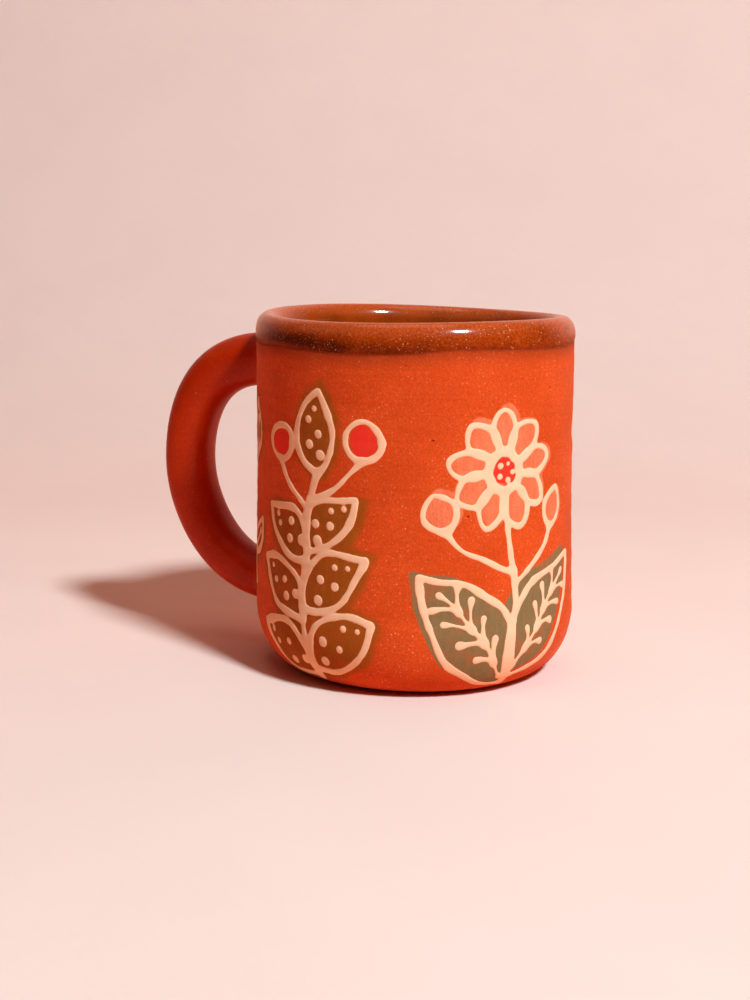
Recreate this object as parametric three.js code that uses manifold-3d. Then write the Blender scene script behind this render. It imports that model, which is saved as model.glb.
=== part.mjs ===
// A hand-thrown redware mug, in millimetres, +Z up.
// The origin is the centre of the foot's flat underside, and the handle stands out along -X.
import * as THREE from 'three';
import { mergeVertices } from 'three/addons/utils/BufferGeometryUtils.js';
import Module from 'manifold-3d';

// Thrown cup
const RIM_HEIGHT = 94.6; // top of the clay lip above the table
const MOUTH_RADIUS = 42.15; // outside of the wall just under the lip
const BASE_SPREAD = 1.5; // how much wider the wall grows on its way down to the base
const WALL = 5; // thickness of the wall
const LIP = 5.6; // thickness of the lip, which swells inwards
const LIP_ROUND = 4; // height of the rounded top of the lip
const LIP_TAPER = 12; // height over which the lip thins down to the wall
const FLOOR = 7; // floor inside the cup, above the table
const FOOT_HEIGHT = 0.6; // turned foot that lifts the soft corner off the table
const FOOT_INSET = 3; // edge of the foot, in from where the soft corner ends
const CORNER_WIDTH = 11.5; // soft outer corner, measured along the base
const CORNER_HEIGHT = 17.2; // soft outer corner, measured up the wall
const INNER_CORNER = 4; // round between the floor and the wall inside

// Unevenness of the throwing: the cup leans to its handle and its rim is not level
const LEAN = 1.45; // shift of the rim towards the handle
const RIM_TILT = 0.4; // rim is higher at the back and lower at the front by this
const RIM_WAVE = 0.45; // second swell of the rim, twice round
const RIM_TURN = 20; // degrees from +X to the first level point of the rim
const WAVE_FOOT = 40.6; // height where the rim's unevenness starts

// Glaze coat, inside the cup and over its lip
const GLAZE = 0.6; // thickness
const GLAZE_GAP = 0.15; // clearance to the clay under it
const GLAZE_BAND = 6.2; // how far the coat comes down the outside, below the clay lip

// Pulled handle
const UPPER_ROOT_DROP = 13.8; // middle of the upper root, below the clay lip
const LOWER_ROOT_HEIGHT = 18.4; // middle of the lower root, above the table
const HANDLE_REACH = 27.3; // middle of the grip, out from the wall
const GRIP_RAISE = 2.5; // grip's widest point, above the middle between the roots
const UPPER_PULL = 21.3; // how far the upper arm runs out before it bends
const UPPER_RISE = 2.4; // how far the upper arm rises on the way
const LOWER_PULL = 19; // how far the lower arm runs out before it bends
const LOWER_RISE = 1; // how far the lower arm rises on the way
const SHOULDER_PULL = 18.6; // straightness of the grip above its widest point
const ELBOW_PULL = 15.9; // straightness of the grip below its widest point
const UPPER_THICKNESS = 14.8; // of the strap seen from the side, at the upper root
const GRIP_THICKNESS = 13.4; // the same at the grip
const LOWER_THICKNESS = 12.8; // the same at the lower root
const STRAP_WIDENING = 1.2; // extra width of the strap across, over its thickness
const ROOT_SINK = 3; // how far the middle line starts inside the wall

// Luting slip, the wet clay that joins each root to the wall
const JOINT_GAP = 0.25; // clearance between the slip and what it joins
const SLIP_PAD = 0.8; // thickness between the root and the wall
const SLIP_LENGTH = 5; // how far the smoothed slip runs along the strap
const SLIP_EDGE = 0.7; // how far its thin edge stands off the strap
const SLIP_FLARE = 2.2; // how much further it spreads at the wall

// Fineness of the facets
const AROUND = 64;
const CORNER_STEPS = 7;
const WALL_STEPS = 5;
const LIP_STEPS = 10;
const TAPER_STEPS = 4;
const INNER_CORNER_STEPS = 6;
const STRAP_SIDES = 20;
const STRAP_STEPS = 32;
const SLEEVE_STEPS = 8;
const MERGE_DISTANCE = 1e-4;

const wasm = await Module();
wasm.setup();

const { smoothstep, degToRad } = THREE.MathUtils;
const point = (radius, height) => new THREE.Vector2(radius, height);
const wallRadius = (height) => MOUTH_RADIUS + BASE_SPREAD * (1 - height / RIM_HEIGHT) ** 2;

// Evenly spaced numbers from first to last
function spread(first, last, steps) {
  return Array.from({ length: steps + 1 }, (_, i) => first + ((last - first) * i) / steps);
}

// Outside of the cup, from the edge of the foot's underside up to the start of the lip
function outsideLine() {
  const corner = spread(0, Math.PI / 2, CORNER_STEPS).map((turn) => {
    const height = FOOT_HEIGHT + CORNER_HEIGHT * (1 - Math.cos(turn));
    return point(wallRadius(height) - CORNER_WIDTH * (1 - Math.sin(turn)), height);
  });
  const foot = [0, FOOT_HEIGHT].map((height) => point(corner[0].x - FOOT_INSET, height));
  const wall = spread(FOOT_HEIGHT + CORNER_HEIGHT, RIM_HEIGHT - LIP_ROUND, WALL_STEPS).slice(1);
  return [...foot, ...corner, ...wall.map((height) => point(wallRadius(height), height))];
}

// Rounded top of the lip, from the outside over to the inside
function lipLine() {
  const start = RIM_HEIGHT - LIP_ROUND;
  const middle = wallRadius(start) - LIP / 2;
  const turns = spread(0, Math.PI, LIP_STEPS).slice(1);
  return turns.map((turn) => {
    return point(middle + (LIP / 2) * Math.cos(turn), start + LIP_ROUND * Math.sin(turn));
  });
}

// Inside of the cup, from under the lip down the wall and across the floor to the axis
function insideLine() {
  const lipFoot = RIM_HEIGHT - LIP_ROUND - LIP_TAPER;
  const insideRadius = (height) => {
    const swell = (LIP - WALL) * smoothstep(height, lipFoot, RIM_HEIGHT - LIP_ROUND);
    return wallRadius(height) - WALL - swell;
  };
  const cornerTop = FLOOR + INNER_CORNER;
  const wall = [...spread(RIM_HEIGHT - LIP_ROUND, lipFoot, TAPER_STEPS).slice(1), cornerTop];
  const corner = spread(0, Math.PI / 2, INNER_CORNER_STEPS).slice(1).map((turn) => {
    const inset = INNER_CORNER * (1 - Math.cos(turn));
    return point(insideRadius(cornerTop) - inset, cornerTop - INNER_CORNER * Math.sin(turn));
  });
  return [...wall.map((height) => point(insideRadius(height), height)), ...corner, point(0, FLOOR)];
}

// A line moved off the clay by a distance, square to its own direction at every point
function offClay(line, distance) {
  return line.map((here, i) => {
    const before = line[Math.max(i - 1, 0)];
    const after = line[Math.min(i + 1, line.length - 1)];
    const along = after.clone().sub(before).normalize();
    return point(here.x + distance * along.y, here.y - distance * along.x);
  });
}

// A profile turned about the cup's axis, then leaned and given the uneven rim of hand throwing
function thrown(profile) {
  const geometry = new THREE.LatheGeometry(profile, AROUND);
  geometry.rotateX(Math.PI / 2);
  const place = geometry.attributes.position;
  for (let i = 0; i < place.count; i += 1) {
    const [x, y, z] = [place.getX(i), place.getY(i), place.getZ(i)];
    const turn = Math.atan2(y, x) - degToRad(RIM_TURN);
    const uneven = RIM_TILT * Math.sin(turn) - RIM_WAVE * Math.sin(2 * turn);
    place.setX(i, x - (LEAN * z) / RIM_HEIGHT);
    place.setZ(i, z + uneven * smoothstep(z, WAVE_FOOT, RIM_HEIGHT));
  }
  return bare(geometry);
}

// The geometry with positions only, its shared corners merged and its flattened triangles left out
function bare(geometry) {
  geometry.deleteAttribute('normal');
  geometry.deleteAttribute('uv');
  const merged = mergeVertices(geometry, MERGE_DISTANCE);
  const corners = Array.from(merged.index.array);
  const kept = [];
  for (let i = 0; i < corners.length; i += 3) {
    const [a, b, c] = corners.slice(i, i + 3);
    if (a !== b && b !== c && c !== a) kept.push(a, b, c);
  }
  merged.setIndex(kept);
  return merged;
}

function solid(geometry) {
  const vertProperties = new Float32Array(geometry.attributes.position.array);
  const triVerts = new Uint32Array(geometry.index.array);
  return new wasm.Manifold(new wasm.Mesh({ numProp: 3, vertProperties, triVerts }));
}

function geometryOf(manifold) {
  const { vertProperties, triVerts } = manifold.getMesh();
  const geometry = new THREE.BufferGeometry();
  geometry.setAttribute('position', new THREE.BufferAttribute(vertProperties, 3));
  geometry.setIndex(new THREE.BufferAttribute(triVerts, 1));
  return geometry;
}

// The whole cup as one filled block, grown outwards by a clearance, to cut what stands against it
function cupBlock(growth) {
  const line = offClay([...outsideLine(), point(wallRadius(RIM_HEIGHT), RIM_HEIGHT)], growth);
  return solid(thrown([point(0, line[0].y), ...line, point(0, line.at(-1).y)]));
}

// The ring that the glaze takes up round the outside of the wall, with the joint's clearance
function glazeRing() {
  const outer = GLAZE_GAP + GLAZE + JOINT_GAP;
  const heights = [RIM_HEIGHT - GLAZE_BAND - JOINT_GAP, RIM_HEIGHT];
  const face = heights.map((height) => point(wallRadius(height) + outer, height));
  const back = heights.toReversed().map((height) => point(wallRadius(height) - WALL / 2, height));
  return solid(thrown([...face, ...back, face[0]]));
}

// The middle line of the strap, from the upper root out to the grip and back to the lower root
function handleLine() {
  const at = (reach, height) => new THREE.Vector3(-reach, 0, height);
  const upper = RIM_HEIGHT - UPPER_ROOT_DROP;
  const grip = (upper + LOWER_ROOT_HEIGHT) / 2 + GRIP_RAISE;
  const reach = MOUTH_RADIUS + HANDLE_REACH;
  const upperStart = wallRadius(upper) - ROOT_SINK;
  const lowerEnd = wallRadius(LOWER_ROOT_HEIGHT) - ROOT_SINK;
  const line = new THREE.CurvePath();
  line.add(
    new THREE.CubicBezierCurve3(
      at(upperStart, upper),
      at(upperStart + UPPER_PULL, upper + UPPER_RISE),
      at(reach, grip + SHOULDER_PULL),
      at(reach, grip),
    ),
  );
  line.add(
    new THREE.CubicBezierCurve3(
      at(reach, grip),
      at(reach, grip - ELBOW_PULL),
      at(lowerEnd + LOWER_PULL, LOWER_ROOT_HEIGHT + LOWER_RISE),
      at(lowerEnd, LOWER_ROOT_HEIGHT),
    ),
  );
  return line;
}

const strapLine = handleLine();
const strapLength = strapLine.getLength();

// Thickness of the strap at a share of its length: one even curve through its two roots and the grip
function thickness(share) {
  const rootToRoot = UPPER_THICKNESS * (1 - share) + LOWER_THICKNESS * share;
  const waist = GRIP_THICKNESS - (UPPER_THICKNESS + LOWER_THICKNESS) / 2;
  return rootToRoot + 4 * waist * share * (1 - share);
}

// An oval strap along part of the middle line, with its outside grown by an amount that may vary
function strap(from, to, steps, growth) {
  const corners = [];
  const faces = [];
  const across = new THREE.Vector3(0, 1, 0);
  for (const share of spread(from, to, steps)) {
    const middle = strapLine.getPoint(share);
    const outward = new THREE.Vector3().crossVectors(across, strapLine.getTangent(share));
    const thick = thickness(share) / 2 + growth(share);
    for (let side = 0; side < STRAP_SIDES; side += 1) {
      const turn = (2 * Math.PI * side) / STRAP_SIDES;
      const corner = middle.clone().addScaledVector(outward, thick * Math.cos(turn));
      corner.addScaledVector(across, (thick + STRAP_WIDENING / 2) * Math.sin(turn));
      corners.push(...corner.toArray());
    }
  }
  for (let step = 0; step < steps; step += 1) {
    for (let side = 0; side < STRAP_SIDES; side += 1) {
      const a = step * STRAP_SIDES + side;
      const b = step * STRAP_SIDES + ((side + 1) % STRAP_SIDES);
      faces.push(a, b, b + STRAP_SIDES, a, b + STRAP_SIDES, a + STRAP_SIDES);
    }
  }
  const last = steps * STRAP_SIDES;
  for (let side = 1; side < STRAP_SIDES - 1; side += 1) {
    faces.push(0, side + 1, side, last, last + side, last + side + 1);
  }
  const geometry = new THREE.BufferGeometry();
  geometry.setAttribute('position', new THREE.Float32BufferAttribute(corners, 3));
  geometry.setIndex(faces);
  return solid(geometry);
}

// The strap cut back from the wall by a stand-off, and kept clear of the glaze
function handleSolid(growth, standOff) {
  const whole = strap(0, 1, STRAP_STEPS, () => growth);
  return whole.subtract(cupBlock(standOff)).subtract(glazeRing());
}

// Slip round one root: a pad against the wall with a smoothed fillet that the strap sits in
function lutingSlip(fromUpperEnd) {
  const reach = (ROOT_SINK + SLIP_PAD + 2 * JOINT_GAP + SLIP_LENGTH) / strapLength;
  const growth = (share) => {
    const away = Math.min((fromUpperEnd ? share : 1 - share) / reach, 1);
    return SLIP_EDGE + SLIP_FLARE * (1 - away) ** 2;
  };
  const [from, to] = fromUpperEnd ? [0, reach] : [1 - reach, 1];
  const sleeve = strap(from, to, SLEEVE_STEPS, growth);
  const seat = handleSolid(JOINT_GAP, JOINT_GAP + SLIP_PAD);
  return sleeve.subtract(cupBlock(JOINT_GAP)).subtract(seat).subtract(glazeRing());
}

// The coat of glaze between two lines off the clay, from the floor up over the lip and down outside
function glazeProfile() {
  const bandFoot = RIM_HEIGHT - GLAZE_BAND;
  const band = [bandFoot, RIM_HEIGHT - LIP_ROUND].map((height) => point(wallRadius(height), height));
  const line = [...band, ...lipLine(), ...insideLine()];
  const under = offClay(line, GLAZE_GAP);
  const top = offClay(line, GLAZE_GAP + GLAZE);
  return [...under.reverse(), ...top];
}

const redClay = { color: 0xc9501f, roughness: 0.85, metalness: 0 };
const brownGlaze = { color: 0x8f4520, roughness: 0.15, metalness: 0 };

function piece(name, geometry, look) {
  const mesh = new THREE.Mesh(geometry, new THREE.MeshStandardMaterial(look));
  mesh.name = name;
  geometry.computeVertexNormals();
  return mesh;
}

const mug = new THREE.Group();
mug.add(piece('cup_body', thrown([point(0, 0), ...outsideLine(), ...lipLine(), ...insideLine()]), redClay));
mug.add(piece('glaze_coat', thrown(glazeProfile()), brownGlaze));
mug.add(piece('handle', geometryOf(handleSolid(0, 2 * JOINT_GAP + SLIP_PAD)), redClay));
mug.add(piece('upper_luting_slip', geometryOf(lutingSlip(true)), redClay));
mug.add(piece('lower_luting_slip', geometryOf(lutingSlip(false)), redClay));

export default mug;
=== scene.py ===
import bpy
import numpy as np
from mathutils import Matrix


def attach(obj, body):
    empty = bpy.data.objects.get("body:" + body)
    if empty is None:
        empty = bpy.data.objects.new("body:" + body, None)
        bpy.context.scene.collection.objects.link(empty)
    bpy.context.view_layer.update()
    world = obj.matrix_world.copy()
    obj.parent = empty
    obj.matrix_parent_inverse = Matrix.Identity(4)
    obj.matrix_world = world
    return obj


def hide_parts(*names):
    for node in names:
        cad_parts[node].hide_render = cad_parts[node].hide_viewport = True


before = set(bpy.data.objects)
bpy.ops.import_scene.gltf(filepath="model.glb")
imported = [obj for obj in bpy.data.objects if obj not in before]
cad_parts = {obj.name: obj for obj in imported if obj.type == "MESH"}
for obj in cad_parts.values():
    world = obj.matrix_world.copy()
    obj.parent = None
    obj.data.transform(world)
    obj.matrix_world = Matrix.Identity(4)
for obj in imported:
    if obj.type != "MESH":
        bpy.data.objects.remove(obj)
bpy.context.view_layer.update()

# The thrown cup: one piece of red earthenware drawn up on the wheel, with a low turned foot, a soft
# corner above it and a thick rolled lip. It is bare and matte outside, so the clay's grit shows.

MM = 0.001
RIM_HEIGHT = 94.6
MOUTH_RADIUS = 42.15
BASE_SPREAD = 1.5
WALL = 5.0
LIP = 5.6
LIP_ROUND = 4.0
LIP_TAPER = 12.0
FLOOR = 7.0
FOOT_HEIGHT = 0.6
FOOT_INSET = 3.0
CORNER_WIDTH = 11.5
CORNER_HEIGHT = 17.2
CORNER_TOP = FOOT_HEIGHT + CORNER_HEIGHT
CORNER_START = -5.0  # rise where the corner leaves the foot, so that rise follows the corner's length
INNER_CORNER = 4.0
LEAN = 1.45
RIM_TILT = 0.4
RIM_WAVE = 0.45
RIM_TURN = np.radians(20.0)
WAVE_FOOT = 40.6
LIP_START = RIM_HEIGHT - LIP_ROUND
CUP_COLUMNS = 384
WALL_STEP = 0.7
POLE_RING = 2.0  # radius of the smallest ring round the axis


def smooth(value, low, high):
    """An even S from 0 at low to 1 at high: three parts of the square less two of the cube."""
    share = np.clip((value - low) / (high - low), 0.0, 1.0)
    return share * share * (3 - 2 * share)


def wall_radius(height):
    """Outside radius of the wall: the mouth's, plus a spread that grows by the square downwards."""
    return MOUTH_RADIUS + BASE_SPREAD * (1 - height / RIM_HEIGHT) ** 2


def outside_line(rise):
    """Radius and height outside at each rise: a quarter oval up to the corner's top, then the wall."""
    turn = np.pi / 2 * np.clip((rise - CORNER_START) / (CORNER_TOP - CORNER_START), 0, 1)
    height = np.where(rise < CORNER_TOP, FOOT_HEIGHT + CORNER_HEIGHT * (1 - np.cos(turn)), rise)
    radius = wall_radius(height) - CORNER_WIDTH * (1 - np.sin(turn))
    return np.stack([radius, height], -1)


def lip_line(turn):
    """Rounded top of the lip: half an oval from the outside at turn 0 over to the inside at turn pi."""
    middle = wall_radius(LIP_START) - LIP / 2
    return np.stack([middle + LIP / 2 * np.cos(turn), LIP_START + LIP_ROUND * np.sin(turn)], -1)


def inside_line(height):
    """Radius and height inside: the wall less its thickness, swelling to the lip's thickness at the top."""
    swell = (LIP - WALL) * smooth(height, LIP_START - LIP_TAPER, LIP_START)
    return np.stack([wall_radius(height) - WALL - swell, height], -1)


def inner_corner_line(turn):
    """Round between the inside wall at turn 0 and the floor at a quarter turn: an arc of one radius."""
    start = inside_line(np.array(FLOOR + INNER_CORNER))
    return np.stack(
        [start[0] - INNER_CORNER * (1 - np.cos(turn)), start[1] - INNER_CORNER * np.sin(turn)], -1
    )


def off_clay(line, distance):
    """A line moved away from the clay, square to the way that it runs at every point."""
    along = np.gradient(line, axis=0)
    along /= np.linalg.norm(along, axis=1, keepdims=True)
    return line + np.stack([along[:, 1], -along[:, 0]], -1) * np.asarray(distance)[..., None]


def wheel_marks(turn, height):
    """How far the wall stands out by hand: slow dents round the cup, the fingers' screw and a flare."""
    dents = 0.10 * np.sin(2 * turn + 0.6 + height / 31) + 0.07 * np.sin(3 * turn - height / 19)
    screw = 0.035 * np.sin(2 * np.pi * height / 7.4 + turn)
    screw = screw + 0.018 * np.sin(2 * np.pi * height / 3.1 + 2 * turn)
    flare = 0.3 * smooth(height, 44, 84)
    return (dents + screw + flare) * smooth(height, 2, 21) * (1 - smooth(height, 87, 96))


def thrown(radius, height, turn):
    """Points in millimetres: the radius carried round the axis, leaned to the handle, its rim uneven."""
    uneven = RIM_TILT * np.sin(turn - RIM_TURN) - RIM_WAVE * np.sin(2 * (turn - RIM_TURN))
    return np.stack(
        [
            radius * np.cos(turn) - LEAN * height / RIM_HEIGHT,
            radius * np.sin(turn),
            height + uneven * smooth(height, WAVE_FOOT, RIM_HEIGHT),
        ],
        -1,
    )


def grid_faces(rows, columns, around, over):
    """Four corners of every cell of a grid of points, joined up round its columns or over its rows."""
    row = np.arange(rows if over else rows - 1)[:, None]
    column = np.arange(columns if around else columns - 1)[None, :]
    next_row, next_column = (row + 1) % rows, (column + 1) % columns
    corners = [row * columns + column, row * columns + next_column]
    corners += [next_row * columns + next_column, next_row * columns + column]
    return np.stack([corner.ravel() for corner in corners], -1)


def add_piece(name, points, faces, material, replaced=()):
    """A smooth mesh piece from points in millimetres and lists of corners, riding on the mug."""
    mesh = bpy.data.meshes.new(name)
    mesh.from_pydata((np.asarray(points) * MM).tolist(), [], faces)
    mesh.shade_smooth()
    mesh.materials.append(material)
    piece = bpy.data.objects.new(name, mesh)
    bpy.context.collection.objects.link(piece)
    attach(piece, "root")
    if replaced:
        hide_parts(*replaced)
    return piece


def turned_piece(name, rings, first_pole, last_pole, material, replaced):
    """A closed turned body: rings of points joined round, with a fan to a pole point at each end."""
    rows, columns = rings.shape[:2]
    points = np.vstack([rings.reshape(-1, 3), first_pole, last_pole])
    here = np.arange(columns)
    after = (here + 1) % columns
    last_ring = (rows - 1) * columns
    first_fan = np.stack([np.full(columns, rows * columns), after, here], -1)
    last_fan = np.stack([np.full(columns, rows * columns + 1), last_ring + here, last_ring + after], -1)
    faces = grid_faces(rows, columns, True, False).tolist() + first_fan.tolist() + last_fan.tolist()
    return add_piece(name, points, faces, material, replaced)


def linear(code):
    """A colour written as sRGB hex, as the linear red, green, blue and alpha that shaders take."""
    share = np.array([int(code[i : i + 2], 16) for i in (1, 3, 5)]) / 255
    light = np.where(share <= 0.04045, share / 12.92, ((share + 0.055) / 1.055) ** 2.4)
    return (*light.tolist(), 1.0)


def add_node(material, kind, settings=None, inputs=None):
    """Add one node: settings are its properties, inputs are values or the sockets that feed it."""
    node = material.node_tree.nodes.new(kind)
    for name, value in (settings or {}).items():
        setattr(node, name, value)
    for name, value in (inputs or {}).items():
        if isinstance(value, bpy.types.NodeSocket):
            material.node_tree.links.new(value, node.inputs[name])
        else:
            node.inputs[name].default_value = value
    return node


def new_material(name):
    """An empty node material, ready for its nodes."""
    material = bpy.data.materials.new(name)
    material.use_nodes = True
    material.node_tree.nodes.clear()
    return material


S_CURVE = "SMOOTHSTEP"
COLOUR_A, COLOUR_B, COLOUR_OUT = 6, 7, 2  # the colour sockets of a mix node, which share their names


def cloudy(material, place, size, detail=3.0, roughness=0.5):
    """Random clouds of about a size in millimetres, from 0 to 1."""
    inputs = {"Vector": place, "Scale": 1 / (size * MM), "Detail": detail, "Roughness": roughness}
    return add_node(material, "ShaderNodeTexNoise", inputs=inputs).outputs["Fac"]


def ranged(material, value, low, high, to_low=0.0, to_high=1.0, curve="LINEAR"):
    """A value from low to high carried over to another range, evenly or on an S, and kept within it."""
    inputs = {"Value": value, "From Min": low, "From Max": high, "To Min": to_low, "To Max": to_high}
    return add_node(material, "ShaderNodeMapRange", {"interpolation_type": curve}, inputs).outputs["Result"]


def mixed(material, share, under, over, kind="MIX"):
    """One colour laid over another by a share, or multiplied into it."""
    settings = {"data_type": "RGBA", "blend_type": kind}
    inputs = {0: share, COLOUR_A: under, COLOUR_B: over}
    return add_node(material, "ShaderNodeMix", settings, inputs).outputs[COLOUR_OUT]


def reckoned(material, operation, *values):
    """One sum on numbers or sockets, by the name of its operation."""
    inputs = dict(enumerate(values))
    return add_node(material, "ShaderNodeMath", {"operation": operation}, inputs).outputs["Value"]


def scattered(material, place, cell, share, most):
    """Soft round specks strewn at random, one to a cell of so many millimetres.

    A share of them show, by chance from not at all up to the most."""
    cells = add_node(material, "ShaderNodeTexVoronoi", inputs={"Vector": place, "Scale": 1 / (cell * MM)})
    chance = add_node(material, "ShaderNodeSeparateColor", inputs={"Color": cells.outputs["Color"]})
    spot = ranged(material, cells.outputs["Distance"], 0.32, 0.08, curve=S_CURVE)
    shown = ranged(material, chance.outputs["Red"], 1 - share, 1.0, 0.0, most)
    return reckoned(material, "MULTIPLY", spot, shown)


def red_clay(name, pale, deep, grit_share, streak_share, polish):
    """Bare red earthenware, sponged and fired: matte, faintly cloudy, with pale grit, streaks and nicks.

    The real grain is finer than the picture can show, so it is drawn 0.6 mm coarse. Returns the material
    with its colour, roughness and height sockets, so that paint can go over them."""
    material = new_material(name)
    place = add_node(material, "ShaderNodeTexCoord").outputs["Object"]
    cloud = cloudy(material, place, 21, 4.0, 0.55)
    tone = ranged(material, cloud, 0.36, 0.66, curve=S_CURVE)
    body = mixed(material, tone, linear(deep), linear(pale))
    grain = cloudy(material, place, 0.6, 3.0, 0.65)
    grain_tone = ranged(material, grain, 0.32, 0.68, 0.84, 1.13)
    grained = mixed(material, 1.0, body, grain_tone, "MULTIPLY")
    drawing_out = 1 / 26  # streaks run 26 times as long round the cup as they are high
    level = {"Vector": place, "Scale": (drawing_out, drawing_out, 1.0)}
    drawn_out = add_node(material, "ShaderNodeMapping", inputs=level).outputs["Vector"]
    streak = cloudy(material, drawn_out, 0.8)
    streak_tone = ranged(material, streak, 0.3, 0.7, 0.86, 1.08)
    wiped = mixed(material, streak_share, grained, streak_tone, "MULTIPLY")
    fine_grit = scattered(material, place, 0.6, grit_share, 0.5)
    coarse_grit = scattered(material, place, 0.85, 0.4 * grit_share, 0.85)
    grit = reckoned(material, "MAXIMUM", fine_grit, coarse_grit)
    crowd = ranged(material, cloud, 0.4, 0.6, 0.35, 1.0)
    speck_here = reckoned(material, "MULTIPLY", grit, crowd)
    gritty = mixed(material, speck_here, wiped, linear("#FFB88C"))
    slanting = {"Vector": place, "Rotation": (0.5, 0.6, 0.3), "Scale": (0.22, 1.0, 1.0)}
    slant = add_node(material, "ShaderNodeMapping", inputs=slanting).outputs["Vector"]
    # Nicks: small slanting dents, also darkened in colour, which is painted shade in each dent.
    nick = add_node(material, "ShaderNodeTexVoronoi", inputs={"Vector": slant, "Scale": 1 / (2.6 * MM)})
    nick_chance = add_node(material, "ShaderNodeSeparateColor", inputs={"Color": nick.outputs["Color"]})
    nick_size = ranged(material, nick_chance.outputs["Green"], 0.5, 1.0, 0.0, 0.1)
    nicked = reckoned(material, "LESS_THAN", nick.outputs["Distance"], nick_size)
    nicks_with_painted_shade = mixed(material, nicked, gritty, linear("#862606"))
    rough = ranged(material, cloud, 0.3, 0.7, 0.8 - polish, 0.7 - polish)
    height = reckoned(material, "MULTIPLY_ADD", streak, streak_share, grain)
    dented = reckoned(material, "MULTIPLY_ADD", nicked, -1.0, height)
    return material, nicks_with_painted_shade, rough, dented


def finish_clay(material, colour, rough, height, depth, gloss, dust=0.0):
    """Close a clay material with one rough surface, of a colour, a roughness and a fine relief.

    The relief's depth is in millimetres, and dust makes the surface paler where it is seen edge-on."""
    relief = add_node(
        material, "ShaderNodeBump", inputs={"Height": height, "Distance": depth * MM, "Strength": 0.6}
    )
    surface = add_node(
        material,
        "ShaderNodeBsdfPrincipled",
        inputs={
            "Base Color": colour,
            "Roughness": rough,
            "IOR": 1.45,
            "Specular IOR Level": gloss,
            "Sheen Weight": dust,
            "Sheen Roughness": 0.4,
            "Sheen Tint": linear("#FFC8A8"),
            "Normal": relief.outputs["Normal"],
        },
    )
    add_node(material, "ShaderNodeOutputMaterial", inputs={"Surface": surface.outputs["BSDF"]})


cup_clay, cup_colour, cup_rough, cup_height = red_clay(
    "bare_red_earthenware", "#DD5820", "#D2501A", 0.8, 0.3, 0.0
)

cup_rise = np.arange(CORNER_START, LIP_START, WALL_STEP)
foot_radius = outside_line(np.array(CORNER_START))[0] - FOOT_INSET
# The foot's softened edge: steps out from its radius, and heights
foot_edge = [(-0.1, 0.05), (0.0, 0.2), (0.1, FOOT_HEIGHT - 0.15), (0.4, FOOT_HEIGHT), (1.7, FOOT_HEIGHT)]
base_line = np.vstack(
    [
        np.stack([np.linspace(POLE_RING, foot_radius - 0.4, 7), np.zeros(7)], -1),
        np.array(foot_edge) + (foot_radius, 0.0),
    ]
)
clay_line = np.vstack(
    [
        base_line,
        outside_line(cup_rise),
        lip_line(np.linspace(0, np.pi, 25)),
        inside_line(np.linspace(LIP_START, FLOOR + INNER_CORNER, 24)[1:]),
        inner_corner_line(np.linspace(0, np.pi / 2, 10)[1:]),
        np.stack([np.linspace(20, POLE_RING, 4), np.full(4, FLOOR)], -1),
    ]
)
cup_turn = np.linspace(0, 2 * np.pi, CUP_COLUMNS, endpoint=False)
clay_radius = np.repeat(clay_line[:, :1], CUP_COLUMNS, axis=1)
wall_rows = slice(len(base_line), len(base_line) + len(cup_rise))
clay_radius[wall_rows] += wheel_marks(cup_turn[None, :], clay_line[wall_rows, 1:])
thrown_cup = turned_piece(
    "thrown_cup",
    thrown(clay_radius, clay_line[:, 1:], cup_turn[None, :]),
    [[0.0, 0.0, 0.0]],
    thrown(np.zeros(1), np.full(1, FLOOR), np.zeros(1)),
    cup_clay,
    ["cup_body"],
)


# The pulled handle: a strap of the same clay, drawn out by hand and bent into a loop.
# Wet fingers have smoothed it, so it is a little glossier than the cup and shows no grit.

UPPER_ROOT_DROP = 13.8
LOWER_ROOT_HEIGHT = 18.4
HANDLE_REACH = 27.3
GRIP_RAISE = 2.5
UPPER_PULL, UPPER_RISE = 21.3, 2.4
LOWER_PULL, LOWER_RISE = 19.0, 1.0
SHOULDER_PULL, ELBOW_PULL = 18.6, 15.9
UPPER_THICKNESS, GRIP_THICKNESS, LOWER_THICKNESS = 14.8, 13.4, 12.8
STRAP_WIDENING = 1.2
STRAP_POWER = 2.35  # 2 would be a plain oval
ROOT_SINK = 3.0
STRAP_ROWS, STRAP_COLUMNS = 200, 96


def cubic(ends, share):
    """A cubic curve by its four control points: each weighs in by the cube's terms of the share."""
    a, b, c, d = (np.asarray(end)[None, :] for end in ends)
    t = share[:, None]
    return (1 - t) ** 3 * a + 3 * (1 - t) ** 2 * t * b + 3 * (1 - t) * t * t * c + t**3 * d


def strap_line(count):
    """The strap's middle line as reach and height: two cubic curves that meet upright at the grip."""
    upper = RIM_HEIGHT - UPPER_ROOT_DROP
    grip = (upper + LOWER_ROOT_HEIGHT) / 2 + GRIP_RAISE
    reach = MOUTH_RADIUS + HANDLE_REACH
    start, end = wall_radius(upper) - ROOT_SINK, wall_radius(LOWER_ROOT_HEIGHT) - ROOT_SINK
    fine = np.linspace(0, 1, 400)
    top = [
        (start, upper),
        (start + UPPER_PULL, upper + UPPER_RISE),
        (reach, grip + SHOULDER_PULL),
        (reach, grip),
    ]
    low = [
        (reach, grip),
        (reach, grip - ELBOW_PULL),
        (end + LOWER_PULL, LOWER_ROOT_HEIGHT + LOWER_RISE),
        (end, LOWER_ROOT_HEIGHT),
    ]
    line = np.vstack([cubic(top, fine), cubic(low, fine)[1:]])
    gone = np.concatenate([[0], np.cumsum(np.linalg.norm(np.diff(line, axis=0), axis=1))])
    even = np.linspace(0, gone[-1], count)
    return np.stack([np.interp(even, gone, line[:, 0]), np.interp(even, gone, line[:, 1])], -1)


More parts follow.
